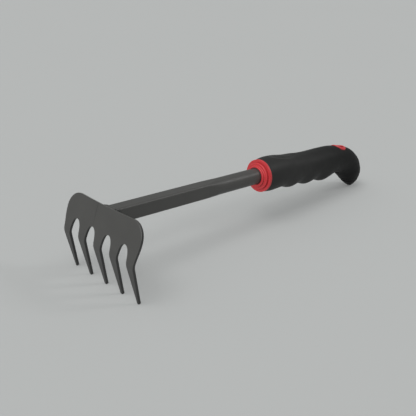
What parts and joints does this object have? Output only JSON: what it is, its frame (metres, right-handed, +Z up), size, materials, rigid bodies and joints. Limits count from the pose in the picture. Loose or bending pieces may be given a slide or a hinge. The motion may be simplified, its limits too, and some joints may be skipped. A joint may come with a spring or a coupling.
{
  "type": "hand rake",
  "caption": "Short garden hand rake: a bent steel head with tapered tines, welded to a tubular shaft with a soft hooked grip and a hanging hole.",
  "frame": {"origin": "on the ground below the middle of the bounding box, with the rake standing on its tine tips and the hook of its handle", "axes": "+X along the tool from the head to the handle, +Z up, +Y to the right side seen from the handle's end, so Y = 0 is the mirror plane"},
  "size_m": [0.3149, 0.0916, 0.0616],
  "materials": {
    "painted_steel": "satin black paint",
    "plug_plastic": "matte",
    "red_plastic": "satin moulded",
    "grip_rubber": "soft matte"
  },
  "bodies": {
    "root": {"rake_head": "painted_steel", "weld_bead": "painted_steel", "shaft_tube": "painted_steel", "tube_plug": "plug_plastic", "handle_core": "red_plastic", "soft_grip": "grip_rubber"}
  },
  "joints": []
}
